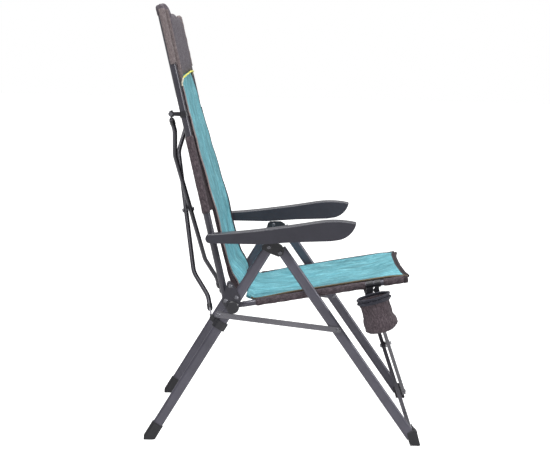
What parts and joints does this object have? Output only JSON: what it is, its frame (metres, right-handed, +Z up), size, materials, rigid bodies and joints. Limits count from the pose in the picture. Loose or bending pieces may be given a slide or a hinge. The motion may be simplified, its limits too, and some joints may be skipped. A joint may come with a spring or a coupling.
{
  "type": "camp chair",
  "caption": "High-backed folding camp armchair: sling seat and back on coated tubes, hard arms, padded headrest, crossed braces front and rear, fabric cup holder.",
  "frame": {"origin": "on the floor, at the middle of the chair's bounding box", "axes": "+X forward, the way the sitter faces; +Y to the sitter's left; +Z up"},
  "size_m": [0.754, 0.711, 1.1803],
  "materials": {
    "tube": "anthracite powder coat",
    "strut": "anthracite coated",
    "bracket_steel": "black powder coat",
    "rivet": "zinc plated",
    "arm_plastic": "fine moulded grain",
    "black_plastic": "moulded",
    "teal_fabric": "streaky woven polyester",
    "grey_fabric": "heather woven polyester",
    "brown_fabric": "heather woven polyester"
  },
  "bodies": {
    "frame_right": {"rear_leg_right": "tube", "front_leg_right": "tube", "link_bar_right": "tube", "hinge_plate_outer_right": "bracket_steel", "hinge_plate_inner_right": "bracket_steel", "hinge_knob_right": "black_plastic", "arm_bracket_right": "black_plastic", "frame_rivets_right": "rivet", "rear_foot_right": "black_plastic", "front_foot_right": "black_plastic"},
    "frame_left": {"rear_leg_left": "tube", "front_leg_left": "tube", "link_bar_left": "tube", "hinge_plate_outer_left": "bracket_steel", "hinge_plate_inner_left": "bracket_steel", "hinge_knob_left": "black_plastic", "arm_bracket_left": "black_plastic", "frame_rivets_left": "rivet", "rear_foot_left": "black_plastic", "front_foot_left": "black_plastic"},
    "back_right": {"back_tube_right": "tube", "brace_clip_right": "black_plastic", "back_sleeve_right": "brown_fabric", "head_sleeve_right": "grey_fabric", "arm_bolt_right": "rivet", "rear_brace_pin": "rivet", "back_panel": "teal_fabric", "headrest": "grey_fabric"},
    "back_left": {"back_tube_left": "tube", "brace_clip_left": "black_plastic", "back_sleeve_left": "brown_fabric", "head_sleeve_left": "grey_fabric", "arm_bolt_left": "rivet"},
    "arm_right": {"armrest_right": "arm_plastic"},
    "arm_left": {"armrest_left": "arm_plastic"},
    "seat_right": {"seat_tube_right": "tube", "seat_clamp_right": "black_plastic", "seat_sleeve_right": "brown_fabric", "seat_panel": "teal_fabric", "cup_ring": "brown_fabric", "cup_pouch": "brown_fabric", "cup_clamp": "black_plastic"},
    "seat_left": {"seat_tube_left": "tube", "seat_clamp_left": "black_plastic", "seat_sleeve_left": "brown_fabric"},
    "slider_right": {"slider_right": "black_plastic"},
    "slider_left": {"slider_left": "black_plastic"},
    "brace_yoke": {"rear_brace_yoke": "bracket_steel"},
    "rear_brace_a": {"rear_brace_tube_a": "tube", "rear_brace_caps_a": "black_plastic", "rear_brace_rivets": "rivet"},
    "rear_brace_b": {"rear_brace_tube_b": "tube", "rear_brace_caps_b": "black_plastic"},
    "front_ear": {"front_brace_ear": "bracket_steel"},
    "front_brace_b": {"front_brace_strut_b": "strut", "front_brace_rivets": "rivet"},
    "front_brace_a": {"front_brace_strut_a": "strut"}
  },
  "joints": [
    {"name": "fold", "type": "slide", "parent": "frame_right", "child": "frame_left", "axis": [0, -1, 0], "range_m": [0, 0.38], "deforming": ["back_panel", "seat_panel", "headrest", "cup_ring", "cup_pouch"]},
    {"name": "recline", "type": "hinge", "parent": "frame_right", "child": "back_right", "pos_m": [-0.159, -0.2485, 0.387], "axis": [0, -1, 0], "range_deg": [0, 24], "deforming": ["back_panel"]},
    {"name": "recline_left", "type": "hinge", "parent": "frame_left", "child": "back_left", "pos_m": [-0.159, 0.2915, 0.387], "axis": [0, -1, 0], "range_deg": [0, 24.05]},
    {"name": "arm_tilt_right", "type": "hinge", "parent": "back_right", "child": "arm_right", "pos_m": [-0.20006, -0.2785, 0.55712], "axis": [0, -1, 0], "range_deg": [-16.85, 0]},
    {"name": "arm_tilt_left", "type": "hinge", "parent": "back_left", "child": "arm_left", "pos_m": [-0.20006, 0.3215, 0.55712], "axis": [0, -1, 0], "range_deg": [-16.85, 0]},
    {"name": "seat_lift_right", "type": "hinge", "parent": "frame_right", "child": "seat_right", "pos_m": [-0.139, -0.2485, 0.37], "axis": [0, -1, 0], "range_deg": [0, 31.18]},
    {"name": "slider_drop_right", "type": "slide", "parent": "frame_right", "child": "slider_right", "axis": [-0.5139, 0, -0.8579], "range_m": [0, 0.19575]},
    {"name": "seat_lift_left", "type": "hinge", "parent": "frame_left", "child": "seat_left", "pos_m": [-0.139, 0.2915, 0.37], "axis": [0, -1, 0], "range_deg": [0, 31.18]},
    {"name": "slider_drop_left", "type": "slide", "parent": "frame_left", "child": "slider_left", "axis": [-0.5139, 0, -0.8579], "range_m": [0, 0.19575]},
    {"name": "brace_yoke_turn", "type": "hinge", "parent": "back_right", "child": "brace_yoke", "pos_m": [-0.3145, -0.2405, 0.8865], "axis": [0, -1, 0], "range_deg": [-10.73, 0]},
    {"name": "rear_brace_swing", "type": "hinge", "parent": "brace_yoke", "child": "rear_brace_a", "pos_m": [-0.3145, -0.2045, 0.8865], "axis": [-0.9776, 0, -0.2104], "range_deg": [0, 33.05]},
    {"name": "rear_brace_cross", "type": "hinge", "parent": "rear_brace_a", "child": "rear_brace_b", "pos_m": [-0.25525, 0.0215, 0.61125], "axis": [0.9776, 0, 0.2104], "range_deg": [0, 66.08]},
    {"name": "front_ear_turn", "type": "hinge", "parent": "frame_right", "child": "front_ear", "pos_m": [0.3605, -0.2445, 0.032], "axis": [0, -1, 0], "range_deg": [0, 0.993]},
    {"name": "front_brace_swing", "type": "hinge", "parent": "front_ear", "child": "front_brace_b", "pos_m": [0.3605, -0.2045, 0.032], "axis": [0.9446, 0, 0.3281], "range_deg": [0, 41.52]},
    {"name": "front_brace_cross", "type": "hinge", "parent": "front_brace_b", "child": "front_brace_a", "pos_m": [0.2945, 0.0215, 0.222], "axis": [-0.9446, 0, -0.3281], "range_deg": [0, 83.02]}
  ],
  "couplings": [
    {"joint": "recline_left", "follows": "recline", "ratio": 1},
    {"joint": "arm_tilt_right", "follows": "recline", "ratio": -0.7},
    {"joint": "arm_tilt_left", "follows": "recline", "ratio": -0.7},
    {"joint": "seat_lift_right", "follows": "fold", "rad_per_m": 1.4311},
    {"joint": "slider_drop_right", "follows": "fold", "ratio": 0.5146},
    {"joint": "seat_lift_left", "follows": "fold", "rad_per_m": 1.4311},
    {"joint": "slider_drop_left", "follows": "fold", "ratio": 0.5146},
    {"joint": "brace_yoke_turn", "follows": "fold", "rad_per_m": -0.49198},
    {"joint": "rear_brace_swing", "follows": "fold", "rad_per_m": 1.5171},
    {"joint": "rear_brace_cross", "follows": "fold", "rad_per_m": 3.0342},
    {"joint": "front_ear_turn", "follows": "fold", "rad_per_m": 0.044696},
    {"joint": "front_brace_swing", "follows": "fold", "rad_per_m": 1.906},
    {"joint": "front_brace_cross", "follows": "fold", "rad_per_m": 3.8119}
  ]
}
